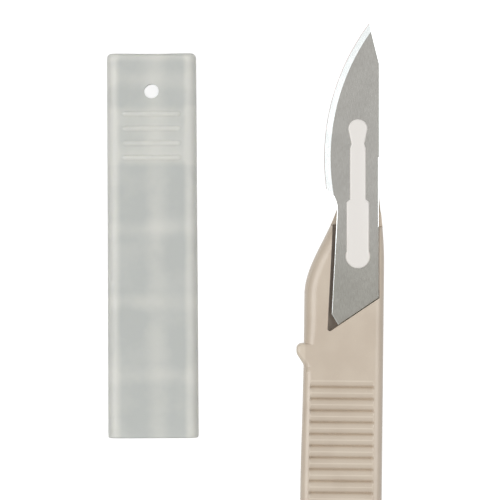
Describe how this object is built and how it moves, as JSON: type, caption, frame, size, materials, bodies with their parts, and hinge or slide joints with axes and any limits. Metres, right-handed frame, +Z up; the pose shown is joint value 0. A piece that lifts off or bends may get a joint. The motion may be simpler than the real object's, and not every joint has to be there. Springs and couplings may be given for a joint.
{
  "type": "disposable scalpel",
  "caption": "Disposable scalpel: beige moulded handle with grip grooves and a stop lug, curved steel blade held by a pale locking key, and a translucent blade cap beside it.",
  "frame": {"origin": "the handle's underside on its centre line, level with the front of the stop lug", "axes": "+Y along the handle towards the blade's point, +X towards the blade's back, +Z up from the face that the handle lies on"},
  "size_m": [0.0531, 0.1609, 0.0071],
  "materials": {
    "handle_abs": "satin",
    "blade_steel": "brushed",
    "key_plastic": "gloss",
    "cap_polyethylene": "satin"
  },
  "bodies": {
    "root": {"handle": "handle_abs", "blade": "blade_steel", "locking_key": "key_plastic", "cap": "cap_polyethylene"}
  },
  "joints": []
}
